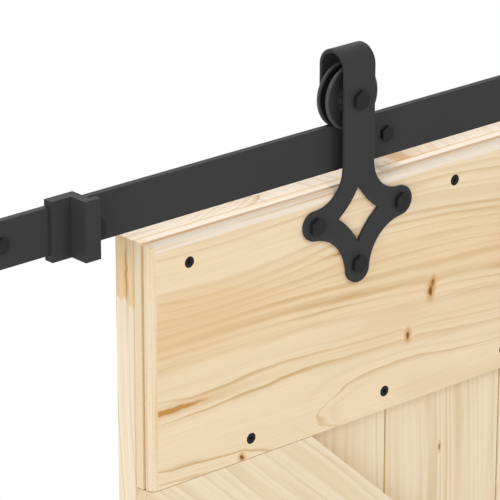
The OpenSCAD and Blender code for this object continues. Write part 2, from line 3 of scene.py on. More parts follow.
import bmesh
import bpy
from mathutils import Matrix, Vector


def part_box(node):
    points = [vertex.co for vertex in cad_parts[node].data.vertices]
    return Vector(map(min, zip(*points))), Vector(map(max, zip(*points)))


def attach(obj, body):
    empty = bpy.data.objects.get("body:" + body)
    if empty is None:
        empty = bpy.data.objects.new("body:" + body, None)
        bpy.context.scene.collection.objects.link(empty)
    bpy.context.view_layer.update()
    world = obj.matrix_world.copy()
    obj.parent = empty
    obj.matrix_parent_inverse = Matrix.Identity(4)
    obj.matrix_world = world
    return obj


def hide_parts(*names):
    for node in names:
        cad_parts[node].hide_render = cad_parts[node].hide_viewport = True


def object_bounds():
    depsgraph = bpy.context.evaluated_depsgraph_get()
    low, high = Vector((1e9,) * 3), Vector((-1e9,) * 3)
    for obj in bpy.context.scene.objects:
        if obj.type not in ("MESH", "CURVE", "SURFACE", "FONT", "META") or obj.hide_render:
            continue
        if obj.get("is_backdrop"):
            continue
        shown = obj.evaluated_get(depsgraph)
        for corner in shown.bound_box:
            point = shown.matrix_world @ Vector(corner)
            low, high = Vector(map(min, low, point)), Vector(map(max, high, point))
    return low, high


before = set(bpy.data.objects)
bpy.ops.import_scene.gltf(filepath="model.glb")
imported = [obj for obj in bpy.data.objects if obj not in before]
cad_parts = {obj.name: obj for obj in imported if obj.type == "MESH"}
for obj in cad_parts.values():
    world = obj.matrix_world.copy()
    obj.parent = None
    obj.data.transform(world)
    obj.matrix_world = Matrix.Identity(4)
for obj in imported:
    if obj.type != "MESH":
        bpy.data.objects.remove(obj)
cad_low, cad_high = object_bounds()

# Rail and its wall fixing
# A flat steel bar stands off the wall on five tubes, held by lag bolts whose hexagon heads show in front.
# All of it has a black satin powder coat with a fine orange-peel skin.


def add(tree, kind, inputs=None, **settings):
    """A node with its settings; inputs maps a socket's name or number to a value or an output."""
    made = tree.nodes.new(kind)
    for name, value in settings.items():
        setattr(made, name, value)
    for name, value in (inputs or {}).items():
        if isinstance(value, bpy.types.NodeSocket):
            tree.links.new(value, made.inputs[name])
        else:
            made.inputs[name].default_value = value
    return made


def calc(tree, operation, *values):
    """The result of one math node."""
    return add(tree, "ShaderNodeMath", dict(enumerate(values)), operation=operation).outputs[0]


def ramp(tree, value, low, high, to_low=0.0, to_high=1.0):
    """A smooth step of value between low and high."""
    inputs = {"Value": value, "From Min": low, "From Max": high, "To Min": to_low, "To Max": to_high}
    return add(tree, "ShaderNodeMapRange", inputs, interpolation_type="SMOOTHSTEP").outputs[0]


def blend_colour(tree, factor, first, second, mode="MIX"):
    """Two colours mixed by a factor."""
    made = add(tree, "ShaderNodeMix", {0: factor, 6: first, 7: second}, data_type="RGBA", blend_type=mode)
    return made.outputs[2]


FLOAT, VECTOR = "NodeSocketFloat", "NodeSocketVector"


def new_group(name, inputs, outputs):
    """An empty shader group with named sockets, and the sockets of its two end nodes."""
    tree = bpy.data.node_groups.new(name, "ShaderNodeTree")
    for label, kind, value in inputs:
        made = tree.interface.new_socket(label, in_out="INPUT", socket_type=kind)
        if value is not None:
            made.default_value = value
    for label, kind in outputs:
        tree.interface.new_socket(label, in_out="OUTPUT", socket_type=kind)
    return tree, tree.nodes.new("NodeGroupInput").outputs, tree.nodes.new("NodeGroupOutput").inputs


def make_coat_skin():
    """The skin of a powder coat: small dimples, a faint cloudiness and grains of pigment."""
    tree, given, out = new_group("coat skin", [("Place", VECTOR, None), ("Dimple", FLOAT, 900.0)],
                                 [("Height", FLOAT), ("Cloud", FLOAT), ("Speck", FLOAT)])
    grains_per_dimple = 2.6
    grain = calc(tree, "MULTIPLY", given["Dimple"], grains_per_dimple)
    scales = {"Height": (given["Dimple"], 2.0), "Cloud": (18.0, 3.0), "Speck": (grain, 1.0)}
    for label, (scale, detail) in scales.items():
        noise = add(tree, "ShaderNodeTexNoise", {"Vector": given["Place"], "Scale": scale, "Detail": detail})
        tree.links.new(noise.outputs["Fac"], out[label])
    return tree


coat_skin = make_coat_skin()


def new_material(name):
    """A material, its node tree and the inputs of its surface."""
    material = bpy.data.materials.new(name)
    material.use_nodes = True
    tree = material.node_tree
    return material, tree, tree.nodes["Principled BSDF"].inputs


def object_place(tree):
    """A point of the piece in the frame's coordinates."""
    return add(tree, "ShaderNodeTexCoord").outputs["Object"]


def coated(name, dark, light, rough_low, rough_high, specular):
    """A grey finish whose shade and gloss shift between two values."""
    material, tree, surface = new_material(name)
    skin = add(tree, "ShaderNodeGroup", {"Place": object_place(tree)}, node_tree=coat_skin).outputs
    speck_share, blue = 0.35, 1.02
    mixed = calc(tree, "MULTIPLY", skin["Cloud"], 1.0 - speck_share)
    mixed = calc(tree, "MULTIPLY_ADD", skin["Speck"], speck_share, mixed)
    shades = [(shade, shade, shade * blue, 1.0) for shade in (dark, light)]
    tree.links.new(blend_colour(tree, ramp(tree, mixed, 0.35, 0.65), *shades), surface["Base Color"])
    tree.links.new(ramp(tree, skin["Cloud"], 0.3, 0.7, rough_low, rough_high), surface["Roughness"])
    surface["Specular IOR Level"].default_value = specular
    bump = add(tree, "ShaderNodeBump", {"Strength": 0.15, "Distance": 0.0003, "Height": skin["Height"]})
    tree.links.new(bump.outputs[0], surface["Normal"])
    return material


def merged_copy(node):
    """A CAD node's mesh to work on, with its loose triangles joined and its flat faces whole again."""
    work = bmesh.new()
    work.from_mesh(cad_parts[node].data)
    bmesh.ops.remove_doubles(work, verts=work.verts, dist=1e-5)
    bmesh.ops.dissolve_limit(work, angle_limit=math.radians(0.5), verts=work.verts, edges=work.edges)
    return work


def as_object(name, work):
    """A new object in the scene that holds a worked mesh."""
    mesh = bpy.data.meshes.new(name)
    work.to_mesh(mesh)
    work.free()
    piece = bpy.data.objects.new(name, mesh)
    bpy.context.scene.collection.objects.link(piece)
    return piece


def settle(piece):
    """Replaces a piece's mesh by what its modifiers make of it."""
    before = piece.data
    graph = bpy.context.evaluated_depsgraph_get()
    after = bpy.data.meshes.new_from_object(piece.evaluated_get(graph))
    piece.modifiers.clear()
    piece.data = after
    bpy.data.meshes.remove(before)


def rounded(name, work, radius, segments=2, angle=35.0):
    """An object whose sharp edges are rounded over, with its large faces shaded flat."""
    piece = as_object(name, work)
    piece.data.shade_smooth()
    bevel = piece.modifiers.new("edge", "BEVEL")
    bevel.width = radius
    bevel.segments = segments
    bevel.limit_method = "ANGLE"
    bevel.angle_limit = math.radians(angle)
    bevel.miter_outer = "MITER_ARC"
    piece.modifiers.new("flat faces", "WEIGHTED_NORMAL").keep_sharp = True
    settle(piece)
    return piece


def put(piece, nodes, body, material):
    """Gives a finished piece its material, and puts it in place of its nodes."""
    piece.data.materials.clear()
    piece.data.materials.append(material)
    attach(piece, body)
    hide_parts(*nodes)


def finish(node, body, material, radius):
    """A rounded copy of a CAD node, put in its place."""
    put(rounded(node + "_finished", merged_copy(node), radius), [node], body, material)


def add_thread(work, centre, start, end, crest, root, pitch, tip_length):
    """Adds a helical ridge round a bar along Y that shrinks towards the bar's tip."""
    steps_per_turn = 24
    count = int((end - start) / pitch * steps_per_turn)
    half_base = 0.3 * pitch
    sunk, tip_root, tip_crest, first_crest = 0.9, 0.35, 0.25, 0.05
    rows = []
    for step in range(count + 1):
        angle = 2 * math.pi * step / steps_per_turn
        along = start + (end - start) * step / count
        to_tip = (end - along) / tip_length
        room = min(1.0, to_tip + tip_crest, (along - start) / pitch + first_crest)
        ray = Vector((math.cos(angle), 0.0, math.sin(angle)))
        base = root * min(1.0, tip_root + to_tip) * sunk
        row = [(base, -half_base), (base + (crest - base) * room, 0.0), (base, half_base)]
        places = [centre + ray * r + Vector((0.0, along + shift, 0.0)) for r, shift in row]
        rows.append([work.verts.new(place) for place in places])
    for first, second in zip(rows, rows[1:]):
        for i in range(3):
            j = (i + 1) % 3
            work.faces.new((first[i], second[i], second[j], first[j]))
    work.faces.new(rows[0])
    work.faces.new(reversed(rows[-1]))


def islands(work):
    """The lowest and highest corner of each separate solid in a mesh."""
    left = set(work.verts)
    boxes = []
    while left:
        queue = [left.pop()]
        found = list(queue)
        while queue:
            for edge in queue.pop().link_edges:
                for vertex in edge.verts:
                    if vertex in left:
                        left.remove(vertex)
                        queue.append(vertex)
                        found.append(vertex)
        boxes.append([Vector(f(v.co[i] for v in found) for i in range(3)) for f in (min, max)])
    return boxes


coat = coated("black_coat", 0.037, 0.041, 0.48, 0.58, 0.08)
bolt_coat = coated("bolt_coat", 0.013, 0.017, 0.44, 0.54, 0.14)
EDGE, FINE_EDGE = 0.0006, 0.0004
finish("rail", "track", coat, EDGE)
finish("wall_spacers", "track", coat, FINE_EDGE)

lag = merged_copy("lag_bolts")
LAG_R, LAG_ROOT_R, LAG_PITCH, LAG_TIP = 0.004, 0.0031, 0.003, 0.008
LAG_EDGE, LAG_EDGE_ANGLE = 0.0002, 50.0
WALL_FACE = -1e-4
lag_boxes = islands(lag)
lag_middles = [(low + high) / 2 for low, high in lag_boxes]
for vertex in lag.verts:
    if vertex.co.y > WALL_FACE:
        middle = min(lag_middles, key=lambda place: abs(place.x - vertex.co.x))
        out = Vector((vertex.co.x - middle.x, 0.0, vertex.co.z))
        if out.length > LAG_ROOT_R:
            vertex.co -= out.normalized() * (out.length - LAG_ROOT_R)
for middle, (_, high) in zip(lag_middles, lag_boxes):
    add_thread(lag, Vector((middle.x, 0.0, 0.0)), LAG_PITCH / 2, high.y - LAG_ROOT_R / 2, LAG_R, LAG_ROOT_R,
               LAG_PITCH, LAG_TIP)
bmesh.ops.recalc_face_normals(lag, faces=lag.faces)
lag_bolts = rounded("lag_bolts_finished", lag, LAG_EDGE, 1, LAG_EDGE_ANGLE)
put(lag_bolts, ["lag_bolts"], "track", bolt_coat)

# End stops
# A bent bar clasps the rail at each end, held by a grub screw from below, and shields a rubber bumper.
# The bumper's face is dull and a little dusty.

zinc = coated("zinc_plate", 0.42, 0.52, 0.3, 0.42, 0.5)
zinc.node_tree.nodes["Principled BSDF"].inputs["Metallic"].default_value = 1.0
rubber = coated("rubber", 0.02, 0.026, 0.7, 0.8, 0.12)
STOP_EDGE, TURNED_EDGE = 0.0007, 0.0003
for side in ("left", "right"):
    finish("end_stop_" + side, "track", coat, STOP_EDGE)
    finish("bumper_" + side, "track", rubber, EDGE)
finish("stop_screws", "track", zinc, TURNED_EDGE)

# Wheels and axles
# Each grooved wheel turns on a sealed bearing between two tubes, on a bolt through both legs of its strap.
# The wheel is coated, with a painted highlight on its rims and round its hub and painted shade in its groove;
# bearing and tubes are zinc-plated.


def product(tree, first, *others):
    """Several values multiplied together."""
    for value in others:
        first = calc(tree, "MULTIPLY", first, value)
    return first


def place_from(tree, centre, turn=0.0):
    """A point of the piece seen from a centre, with the X axis turned about Y."""
    inputs = {"Vector": object_place(tree), "Location": centre, "Rotation": (0.0, turn, 0.0)}
    return add(tree, "ShaderNodeMapping", inputs, vector_type="TEXTURE").outputs[0]


RIM_START, RIM_FULL = 0.0262, 0.0274
HUB_FULL, HUB_END = 0.009, 0.017
GROOVE_FULL, GROOVE_END = 0.0058, 0.0064
# Colour of the painted highlight on rims and hub, colour of the painted shade in the groove, and how strongly
# both are laid on
RIM_AND_HUB_HIGHLIGHT, GROOVE_SHADE, PAINTED_LIGHT_SHARE = (0.085, 0.085, 0.086, 1.0), (0.006, 0.006, 0.006, 1.0), 0.8


def wheel_coat(side):
    """A wheel's coat, with a painted highlight on its rims and round its hub and painted shade in its groove.
    """
    material = coated("wheel_coat_" + side, 0.026, 0.03, 0.48, 0.58, 0.1)
    tree = material.node_tree
    shade = tree.nodes["Principled BSDF"].inputs["Base Color"]
    low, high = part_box("wheel_" + side)
    x, y, z = add(tree, "ShaderNodeSeparateXYZ", {0: place_from(tree, (low + high) / 2)}).outputs
    radius = calc(tree, "SQRT", calc(tree, "MULTIPLY_ADD", x, x, calc(tree, "MULTIPLY", z, z)))
    # Painted highlight on the rims and round the hub
    rim = ramp(tree, radius, RIM_START, RIM_FULL)
    hub = ramp(tree, radius, HUB_FULL, HUB_END, 1.0, 0.0)
    painted_highlight = product(tree, calc(tree, "MAXIMUM", rim, hub), PAINTED_LIGHT_SHARE)
    # Painted shade in the groove between the rims
    within = ramp(tree, calc(tree, "ABSOLUTE", y), GROOVE_FULL, GROOVE_END, 1.0, 0.0)
    groove = product(tree, within, ramp(tree, radius, RIM_START, RIM_FULL, 1.0, 0.0), PAINTED_LIGHT_SHARE)
    colour = blend_colour(tree, painted_highlight, shade.links[0].from_socket, RIM_AND_HUB_HIGHLIGHT)
    tree.links.new(blend_colour(tree, groove, colour, GROOVE_SHADE), shade)
    return material


BEARING_EDGE = 0.0002
for side in ("left", "right"):
    finish("wheel_" + side, side + "_wheel", wheel_coat(side), TURNED_EDGE)
    finish("wheel_bearing_" + side, side + "_wheel", zinc, BEARING_EDGE)
    finish("axle_bolt_" + side, "door", bolt_coat, FINE_EDGE)
    finish("axle_bushes_" + side, "door", zinc, TURNED_EDGE)
    finish("axle_nut_" + side, "door", bolt_coat, FINE_EDGE)

# Hanger straps
# A strap bent over the wheel widens into a plate with a diamond window, cut from sheet and coated.
# Three hexagon bolts hold it to the door, into sleeve nuts let in from the back.

for side in ("left", "right"):
    finish("strap_" + side, "door", coat, EDGE)
    finish("door_bolts_" + side, "door", bolt_coat, FINE_EDGE)
    finish("sleeve_nuts_" + side, "door", bolt_coat, FINE_EDGE)

# Core boards
# Seven tongued pine boards stand side by side, with a shallow V along every joint.
# Each was planed from its own log, so each has its own heart, growth rings and knots.


def calc_vector(tree, operation, first, second):
    """The result of one vector math node."""
    return add(tree, "ShaderNodeVectorMath", {0: first, 1: second}, operation=operation).outputs[0]


def stretched_noise(tree, vector, stretch, seed, detail=2.0):
    """Noise whose lumps are drawn out along the grain; stretch is its frequency along, through and across."""
    offset = add(tree, "ShaderNodeCombineXYZ", {0: seed, 1: seed, 2: seed}).outputs[0]
    moved = calc_vector(tree, "ADD", calc_vector(tree, "MULTIPLY", vector, stretch), offset)
    return add(tree, "ShaderNodeTexNoise", {"Vector": moved, "Scale": 1.0, "Detail": detail}).outputs


def swing(tree, vector, stretch, seed, amount):
    """A vector that strays by amount, either way, in drawn-out lumps."""
    noise = stretched_noise(tree, vector, stretch, seed)["Color"]
    centred = calc_vector(tree, "SUBTRACT", noise, (0.5, 0.5, 0.5))
    return calc_vector(tree, "ADD", vector, calc_vector(tree, "MULTIPLY", centred, (amount, amount, amount)))


def make_growth_rings():
    """Growth rings round a heart that lies behind the board, cut by whatever surface is shaded."""
    tree, given, out = new_group(
        "growth rings",
        [("Board", VECTOR, None), ("Heart Depth", FLOAT, 0.14), ("Heart Across", FLOAT, 0.0),
         ("Ring Width", FLOAT, 0.01), ("Taper", FLOAT, 0.03), ("Tilt", FLOAT, 0.0), ("Push", FLOAT, 0.0),
         ("Seed", FLOAT, 0.0)],
        [("Latewood", FLOAT), ("Fibre", FLOAT), ("Tone", FLOAT)],
    )
    board, seed, taper, width = given["Board"], given["Seed"], given["Taper"], given["Ring Width"]
    stray, ripple_depth, season_swing, false_rings = 0.06, 0.006, 2.4, 3.7
    strayed = swing(tree, board, (1.6, 5.0, 5.0), seed, stray)
    along, through, across = add(tree, "ShaderNodeSeparateXYZ", {0: strayed}).outputs
    through = calc(tree, "SUBTRACT", through, given["Heart Depth"])
    heart = calc(tree, "MULTIPLY_ADD", along, given["Tilt"], given["Heart Across"])
    across = calc(tree, "SUBTRACT", across, heart)
    square = calc(tree, "MULTIPLY_ADD", through, through, calc(tree, "MULTIPLY", across, across))
    from_heart = calc(tree, "SQRT", square)
    # How steeply the rings rise on the board's face: where they lie flat, the lines are far apart
    steep = calc(tree, "DIVIDE", across, from_heart)
    steep = calc(tree, "MULTIPLY_ADD", steep, steep, calc(tree, "MULTIPLY", taper, taper))
    steep = calc(tree, "SQRT", steep)
    radius = calc(tree, "MULTIPLY_ADD", along, taper, from_heart)
    radius = calc(tree, "ADD", radius, given["Push"])
    ripple = stretched_noise(tree, board, (6.0, 30.0, 30.0), seed, 3.0)["Fac"]
    radius = calc(tree, "MULTIPLY_ADD", ripple, ripple_depth, radius)
    years = calc(tree, "DIVIDE", radius, width)
    season = {"W": calc(tree, "ADD", years, seed), "Scale": 0.45, "Detail": 1.0}
    season = add(tree, "ShaderNodeTexNoise", season, noise_dimensions="1D").outputs["Fac"]
    years = calc(tree, "MULTIPLY_ADD", season, season_swing, years)
    # Distance on the face to the end of the year, where the dark line is sharp; its other side fades out
    rest = calc(tree, "SUBTRACT", 1.0, calc(tree, "FRACT", years))
    rest = calc(tree, "DIVIDE", calc(tree, "MULTIPLY", rest, width), steep)
    breadth = stretched_noise(tree, board, (7.0, 20.0, 40.0), seed, 1.0)["Fac"]
    breadth = ramp(tree, breadth, 0.35, 0.65, 0.0045, 0.011)
    weather = {"W": calc(tree, "ADD", calc(tree, "FLOOR", years), seed)}
    weather = add(tree, "ShaderNodeTexWhiteNoise", weather, noise_dimensions="1D").outputs["Value"]
    fading = stretched_noise(tree, board, (4.0, 22.0, 30.0), seed, 3.0)["Fac"]
    late = product(tree, ramp(tree, rest, 0.0, 0.0009), ramp(tree, rest, 0.0006, breadth, 1.0, 0.0),
                   ramp(tree, weather, 0.0, 1.0, 0.5, 1.0), ramp(tree, fading, 0.36, 0.62, 0.4, 1.0))
    rain = calc(tree, "PINGPONG", calc(tree, "MULTIPLY", years, false_rings), 1.0)
    rain = product(tree, ramp(tree, rain, 0.55, 1.0), ramp(tree, fading, 0.42, 0.7, 0.16, 0.0))
    tree.links.new(calc(tree, "MAXIMUM", late, rain), out["Latewood"])
    tree.links.new(stretched_noise(tree, board, (14.0, 500.0, 500.0), seed, 3.0)["Fac"], out["Fibre"])
    tree.links.new(stretched_noise(tree, board, (1.3, 14.0, 14.0), seed, 3.0)["Fac"], out["Tone"])
    return tree


def make_spot():
    """A mark in the board such as a branch: its heart, the wood round it, and how it pushes the rings."""
    tree, given, out = new_group(
        "spot",
        [("Board", VECTOR, None), ("Centre", VECTOR, (0, 0, 0)), ("Half Length", FLOAT, 0.01),
         ("Half Depth", FLOAT, 1.0), ("Half Width", FLOAT, 0.004)],
        [("Heart", FLOAT), ("Halo", FLOAT), ("Push", FLOAT)],
    )
    fray = 0.004
    frayed = swing(tree, given["Board"], (90.0, 0.0, 220.0), 3.0, fray)
    away = calc_vector(tree, "SUBTRACT", frayed, given["Centre"])
    split = add(tree, "ShaderNodeSeparateXYZ", {0: away}).outputs
    along, through, across = (calc(tree, "DIVIDE", part, given[size])
                              for part, size in zip(split, ("Half Length", "Half Depth", "Half Width")))
    reach = calc(tree, "MULTIPLY_ADD", along, along, calc(tree, "MULTIPLY", across, across))
    reach = calc(tree, "SQRT", calc(tree, "MULTIPLY_ADD", through, through, reach))
    tree.links.new(ramp(tree, reach, 0.55, 1.0, 1.0, 0.0), out["Heart"])
    tree.links.new(ramp(tree, reach, 0.7, 2.6, 1.0, 0.0), out["Halo"])
    push = product(tree, ramp(tree, reach, 0.5, 4.0, 0.2, 0.0), given["Half Width"])
    tree.links.new(push, out["Push"])
    return tree


growth_rings = make_growth_rings()
spot = make_spot()

PALE = (0.875, 0.755, 0.575, 1.0)
TOP_WOOD = (0.83, 0.725, 0.595, 1.0)
END_WOOD = (0.785, 0.648, 0.46, 1.0)
SAPWOOD = (0.815, 0.622, 0.385, 1.0)
HEARTWOOD = (0.745, 0.515, 0.265, 1.0)
LATEWOOD = (0.53, 0.305, 0.10, 1.0)
KNOT_BROWN = (0.20, 0.072, 0.004, 1.0)
RESIN = (0.52, 0.25, 0.045, 1.0)


def finger_joint(tree, board, along, pale, seed, joint):
    """Paleness and seed of a board whose upper length, beyond a toothed joint, is from another log."""
    tooth_depth, other_pale, other_seed = 0.014, 0.25, 7.3
    tooth = stretched_noise(tree, board, (0.0, 160.0, 160.0), seed, 0.0)["Fac"]
    tooth = calc(tree, "MULTIPLY", tooth, tooth_depth)
    upper = calc(tree, "SUBTRACT", calc(tree, "ADD", along, tooth), joint)
    upper = ramp(tree, upper, 0.005, 0.008)
    pale = calc(tree, "MULTIPLY_ADD", upper, (other_pale - 1.0) * pale, pale)
    return pale, calc(tree, "MULTIPLY_ADD", upper, other_seed, seed)


MARK_HALOS = {"knots": (RESIN, 0.6), "streaks": (RESIN, 0.3), "warm": (HEARTWOOD, 0.55)}
MARK_HEARTS = {"knots": KNOT_BROWN, "streaks": RESIN}
HEART_STRENGTH = 0.95


def place_marks(tree, board, log):
    """How far the knots of a log push its rings, and the outputs and kind of each of its marks."""
    push, spots = 0.0, []
    for kind in MARK_HALOS:
        for mark in log.get(kind, []):
            along, across, half_length, half_width, through, half_depth = (*mark, 0.0, 1.0)[:6]
            inputs = {"Board": board, "Centre": (along, through, across), "Half Length": half_length,
                      "Half Depth": half_depth, "Half Width": half_width}
            made = add(tree, "ShaderNodeGroup", inputs, node_tree=spot).outputs
            if kind == "knots":
                push = calc(tree, "ADD", push, made["Push"])
            spots.append((made, kind))
    return push, spots


def paint_marks(tree, colour, spots, face):
    """A colour with the marks of a log laid over it, on the board's face."""
    for outputs, kind in spots:
        halo_colour, strength = MARK_HALOS[kind]
        halo = product(tree, outputs["Halo"], strength, face)
        colour = blend_colour(tree, halo, colour, halo_colour)
        if kind in MARK_HEARTS:
            heart = product(tree, outputs["Heart"], HEART_STRENGTH, face)
            colour = blend_colour(tree, heart, colour, MARK_HEARTS[kind])
    return colour


def paint_mouldings(tree, colour, board, split, seed, edges):
    """A colour with the striped edges of a board and painted shade in the quirk of each moulding laid over
    it, and the mask of the face between them.
    """
    fade, end_quirk_shade, side_quirk_shade = 0.0008, 0.12, 0.3
    end_stripes, side_stripes = (380.0, 380.0, 7.0), (5.0, 420.0, 420.0)
    along, through, across = split
    face = 1.0
    for axis, start in edges:
        at_end = axis == 0
        place = calc(tree, "ABSOLUTE", along) if at_end else calc(tree, "MULTIPLY", across, axis)
        edge = ramp(tree, place, start, start + fade)
        stripe = stretched_noise(tree, board, end_stripes if at_end else side_stripes, seed)["Fac"]
        wood = END_WOOD if at_end else TOP_WOOD
        striped = blend_colour(tree, ramp(tree, stripe, 0.48, 0.8), wood, HEARTWOOD)
        colour = blend_colour(tree, edge, colour, striped)
        # Painted shade in the quirk beside each moulding, fading out over the rounded edge
        groove = product(tree, ramp(tree, through, -0.006, -0.0014), ramp(tree, through, 0.001, 0.0008), edge,
                         end_quirk_shade if at_end else side_quirk_shade)
        colour = blend_colour(tree, groove, colour, LATEWOOD)
        face = calc(tree, "MULTIPLY", face, calc(tree, "SUBTRACT", 1.0, edge))
    return colour, face


def paint_sawn_end(tree, colour, along, through, half_length):
    """A colour with a board's paler sawn ends and a painted shadow line along the seam against the ledge laid
    over it.
    """
    end_strength, seam_shadow_strength = 0.85, 0.5
    cut = ramp(tree, calc(tree, "ABSOLUTE", along), half_length - 0.0012, half_length - 0.0003)
    colour = blend_colour(tree, product(tree, cut, end_strength), colour, TOP_WOOD)
    # Painted shadow line along the board's front edge, where the ledge sits against it
    seam = product(tree, ramp(tree, through, -0.0085, -0.0112), ramp(tree, through, -0.01195, -0.0118),
                   seam_shadow_strength)
    return blend_colour(tree, seam, colour, LATEWOOD)


LINE_STRENGTH = 0.85


def pine(name, centre, turn, log):
    """Bare planed pine from a log. turn is the angle about Y that lays X along the grain.

    A log gives its heart's depth and place across, its taper, ring width and seed, and at will a tilt,
    paleness and the strength of its lines. knots, streaks and warm are marks: place along and across, half
    length and width, then place through and half depth where a mark isn't as deep as the board. sap lists
    pale zones, quiet is where the lines weaken, joint is the height of a finger joint, edges are the starts
    of mouldings, and end is half the length of a board with sawn ends.
    """
    material, tree, surface = new_material(name)
    board = place_from(tree, centre, turn)
    split = add(tree, "ShaderNodeSeparateXYZ", {0: board}).outputs
    along, through, across = split
    pale, seed = log.get("pale", 0.0), log["seed"]
    if "joint" in log:
        pale, seed = finger_joint(tree, board, along, pale, seed, log["joint"])
    for start, end, amount in log.get("sap", []):
        pale = calc(tree, "ADD", pale, ramp(tree, across, start, end, 0.0, amount))
    push, spots = place_marks(tree, board, log)
    heart_depth, heart_across = log["heart"]
    inputs = {"Board": board, "Heart Depth": heart_depth, "Heart Across": heart_across,
              "Ring Width": log["ring"], "Taper": log["taper"], "Tilt": log.get("tilt", 0.0),
              "Push": push, "Seed": seed}
    late, fibre, tone = add(tree, "ShaderNodeGroup", inputs, node_tree=growth_rings).outputs
    colour = blend_colour(tree, ramp(tree, tone, 0.36, 0.7), SAPWOOD, HEARTWOOD)
    colour = blend_colour(tree, pale, colour, PALE)
    colour, face = paint_mouldings(tree, colour, board, split, seed, log.get("edges", []))
    late = product(tree, late, face, log.get("lines", LINE_STRENGTH))
    if "quiet" in log:
        late = product(tree, late, ramp(tree, across, *log["quiet"]))
    if "end" in log:
        colour = paint_sawn_end(tree, colour, along, through, log["end"])
    colour = blend_colour(tree, late, colour, LATEWOOD)
    fibre_swing, darkest = 0.14, 0.93
    grey = calc(tree, "MULTIPLY_ADD", fibre, fibre_swing, darkest)
    shade = add(tree, "ShaderNodeCombineColor", {0: grey, 1: grey, 2: grey}).outputs[0]
    colour = blend_colour(tree, 1.0, colour, shade, "MULTIPLY")
    tree.links.new(paint_marks(tree, colour, spots, face), surface["Base Color"])
    roughness, line_gloss, line_height = 0.62, -0.1, 0.5
    tree.links.new(calc(tree, "MULTIPLY_ADD", late, line_gloss, roughness), surface["Roughness"])
    surface["Specular IOR Level"].default_value = 0.25
    height = calc(tree, "MULTIPLY_ADD", late, line_height, fibre)
    bump = add(tree, "ShaderNodeBump", {"Strength": 0.2, "Distance": 0.0004, "Height": height})
    tree.links.new(bump.outputs[0], surface["Normal"])
    return material


ARRIS = 0.0007


def panel(node, turn, log):
    """A board of the door, put in its place with the wood of its log."""
    low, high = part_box(node)
    finish(node, "door", pine("pine_" + node, (low + high) / 2, turn, log), ARRIS)


UPRIGHT = math.radians(-90)
core_logs = [
    {"heart": (0.16, 0.03), "taper": 0.03, "ring": 0.0055, "pale": 0.9, "lines": 1.0, "joint": 1.012,
     "streaks": [(1.036, 0.07, 0.03, 0.02, -0.0014, 0.0014)],
     "knots": [(0.35, 0.02, 0.012, 0.007), (-0.55, -0.03, 0.009, 0.006)]},
    {"heart": (0.06, -0.19), "taper": -0.006, "ring": 0.011, "knots": [(0.12, -0.02, 0.013, 0.008)]},
    {"heart": (0.07, 0.18), "taper": 0.005, "ring": 0.010, "streaks": [(1.0757, 0.054, 0.012, 0.02)],
     "knots": [(0.785, 0.0065, 0.003, 0.0014), (-0.2, 0.03, 0.011, 0.008)]},
    {"heart": (0.13, 0.05), "taper": 0.022, "ring": 0.01,
     "knots": [(-0.72, -0.01, 0.014, 0.009), (0.5, 0.04, 0.006, 0.004)]},
    {"heart": (0.08, -0.16), "taper": -0.007, "ring": 0.011, "knots": [(0.28, 0.03, 0.010, 0.007)]},
    {"heart": (0.12, 0.02), "taper": 0.027, "ring": 0.009,
     "knots": [(-0.42, -0.03, 0.012, 0.008), (0.64, 0.0, 0.005, 0.003)]},
    {"heart": (0.07, -0.20), "taper": -0.005, "ring": 0.012, "knots": [(0.05, 0.02, 0.012, 0.008)]},
]
FIRST_SEED, SEED_STEP = 1.3, 3.7
CORE_PALE, CORE_LINES = 0.72, 0.45
core_nodes = sorted(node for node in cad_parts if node.startswith("core_board"))
for number, (node, log) in enumerate(zip(core_nodes, core_logs)):
    low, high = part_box(node)
    usual = {"seed": SEED_STEP * number + FIRST_SEED, "pale": CORE_PALE, "lines": CORE_LINES}
    panel(node, UPRIGHT, {**usual, "end": (high.z - low.z) / 2, **log})

# Ledges
# Three wide pine boards lie across the core, screwed on from the front; their outer edges are moulded.
# The top one has pale sapwood along both edges, a resin streak at its left end and a few small knots.

low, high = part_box("ledge_top")
MOULD = 0.0088
LEDGE_END, LEDGE_SIDE = (high.x - low.x) / 2 - MOULD, (high.z - low.z) / 2 - MOULD
ledge_logs = {
    "ledge_top": {"heart": (0.08, -0.11), "taper": -0.045, "tilt": -0.10, "ring": 0.0085, "seed": 40.0,
                  "sap": [(0.035, 0.07, 0.4), (0.02, -0.03, 0.36)], "quiet": (0.03, 0.075, 1.0, 0.5),
                  "warm": [(-0.45, 0.03, 0.05, 0.016)],
                  "knots": [(-0.1728, -0.0045, 0.0022, 0.0045), (-0.1755, -0.0115, 0.003, 0.0055),
                            (-0.202, -0.0455, 0.0024, 0.0042), (-0.3913, -0.1045, 0.0024, 0.003)],
                  "streaks": [(-0.484, -0.0405, 0.066, 0.0032), (-0.2665, 0.06, 0.004, 0.004),
                              (-0.275, 0.05, 0.020, 0.0014)]},
    "ledge_middle": {"heart": (0.13, 0.05), "taper": -0.028, "ring": 0.009, "seed": 45.1, "pale": 0.32,
                     "knots": [(0.21, -0.03, 0.012, 0.008), (-0.3, 0.05, 0.007, 0.005)]},
    "ledge_bottom": {"heart": (0.16, -0.03), "taper": 0.031, "ring": 0.01, "seed": 50.2, "pale": 0.32,
                     "knots": [(-0.12, 0.02, 0.011, 0.008)]},
}
for node, log in ledge_logs.items():
    sides = {"ledge_top": [(1, LEDGE_SIDE)], "ledge_bottom": [(-1, LEDGE_SIDE)]}.get(node, [])
    panel(node, 0.0, {"edges": [*sides, (0, LEDGE_END)], **log})

# Braces
# Two pine boards run slantwise between the ledges, with their ends cut to the ledges' edges.
# They are screwed to every board that they cross.

